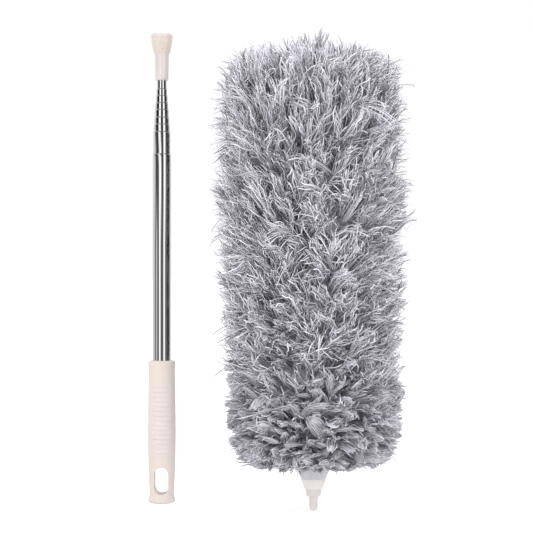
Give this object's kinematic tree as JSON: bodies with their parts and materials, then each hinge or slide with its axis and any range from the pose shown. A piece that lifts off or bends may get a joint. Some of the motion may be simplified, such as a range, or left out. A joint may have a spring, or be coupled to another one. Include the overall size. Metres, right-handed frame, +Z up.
{
  "type": "telescopic duster",
  "caption": "Long-reach duster: collapsed telescopic steel pole with ribbed plastic grip, and a separate bendable grey microfibre head whose stepped plug fits the pole's socket.",
  "frame": {"origin": "on the pole's axis at the middle of the grip's ribbed panel, where the hand holds it", "axes": "+Z up along the collapsed pole from grip to socket, +X from the pole to the head standing beside it, -Y towards the viewer; the ribbed panels and the hanging slot face -Y and +Y"},
  "size_m": [0.2407, 0.171, 0.4472],
  "materials": {
    "ivory_plastic": "moulded ivory plastic with a faint pink tint, satin",
    "plug_plastic": "moulded off-white plastic, satin",
    "black_plastic": "moulded black plastic",
    "stainless_tube": "polished stainless tube",
    "steel_wire": "drawn steel wire",
    "brass_leaf": "rolled spring brass",
    "core_foam": "soft closed-cell foam",
    "cover_cloth": "knitted grey polyester",
    "microfibre_pile": "long split microfibre strands, silver grey with lighter tips",
    "tip_rubber": "soft grey rubber"
  },
  "bodies": {
    "grip": {"grip_sleeve": "ivory_plastic", "grip_end_ring": "ivory_plastic", "hanger_end_cap": "ivory_plastic", "tail_plug": "black_plastic", "tube_1": "stainless_tube"},
    "section_2": {"tube_2": "stainless_tube", "friction_bush_2": "black_plastic"},
    "section_3": {"tube_3": "stainless_tube", "friction_bush_3": "black_plastic"},
    "section_4": {"tube_4": "stainless_tube", "friction_bush_4": "brass_leaf"},
    "section_5": {"tube_5": "stainless_tube", "friction_bush_5": "brass_leaf"},
    "section_6": {"tube_6": "stainless_tube", "friction_bush_6": "brass_leaf"},
    "section_7": {"tube_7": "stainless_tube", "friction_bush_7": "brass_leaf"},
    "section_8": {"tube_8": "stainless_tube", "friction_bush_8": "brass_leaf"},
    "section_9": {"tube_9": "stainless_tube", "friction_bush_9": "brass_leaf", "socket_sleeve": "ivory_plastic", "socket_cup": "ivory_plastic"},
    "head_lower": {"head_plug": "plug_plastic", "head_plug_cap": "plug_plastic", "cover_skirt": "cover_cloth", "core_wire_lower": "steel_wire", "foam_core_lower": "core_foam", "cover_backing_lower": "cover_cloth", "fibre_pile_lower": "microfibre_pile"},
    "head_middle": {"core_wire_middle": "steel_wire", "foam_core_middle": "core_foam", "cover_backing_middle": "cover_cloth", "fibre_pile_middle": "microfibre_pile"},
    "head_upper": {"core_wire_upper": "steel_wire", "foam_core_upper": "core_foam", "cover_backing_upper": "cover_cloth", "fibre_pile_upper": "microfibre_pile", "core_tip_cap": "tip_rubber"}
  },
  "joints": [
    {"name": "tube_2_slide", "type": "slide", "parent": "grip", "child": "section_2", "axis": [0, 0, 1], "range_m": [0, 0.235]},
    {"name": "tube_3_slide", "type": "slide", "parent": "section_2", "child": "section_3", "axis": [0, 0, 1], "range_m": [0, 0.235]},
    {"name": "tube_4_slide", "type": "slide", "parent": "section_3", "child": "section_4", "axis": [0, 0, 1], "range_m": [0, 0.235]},
    {"name": "tube_5_slide", "type": "slide", "parent": "section_4", "child": "section_5", "axis": [0, 0, 1], "range_m": [0, 0.235]},
    {"name": "tube_6_slide", "type": "slide", "parent": "section_5", "child": "section_6", "axis": [0, 0, 1], "range_m": [0, 0.235]},
    {"name": "tube_7_slide", "type": "slide", "parent": "section_6", "child": "section_7", "axis": [0, 0, 1], "range_m": [0, 0.235]},
    {"name": "tube_8_slide", "type": "slide", "parent": "section_7", "child": "section_8", "axis": [0, 0, 1], "range_m": [0, 0.235]},
    {"name": "tube_9_slide", "type": "slide", "parent": "section_8", "child": "section_9", "axis": [0, 0, 1], "range_m": [0, 0.235]},
    {"name": "head_fit_slide", "type": "slide", "parent": "section_9", "child": "head_lower", "axis": [-0.3166, 0, 0.9485], "range_m": [0, 0.45006], "deforming": ["fibre_pile_lower"]},
    {"name": "head_bend_lower", "type": "hinge", "parent": "head_lower", "child": "head_middle", "pos_m": [0.1425, 0, 0.09], "axis": [0, 1, 0], "range_deg": [0, 50], "deforming": ["fibre_pile_middle"]},
    {"name": "head_bend_upper", "type": "hinge", "parent": "head_middle", "child": "head_upper", "pos_m": [0.1425, 0, 0.222], "axis": [0, 1, 0], "range_deg": [0, 50], "deforming": ["fibre_pile_upper"]}
  ]
}
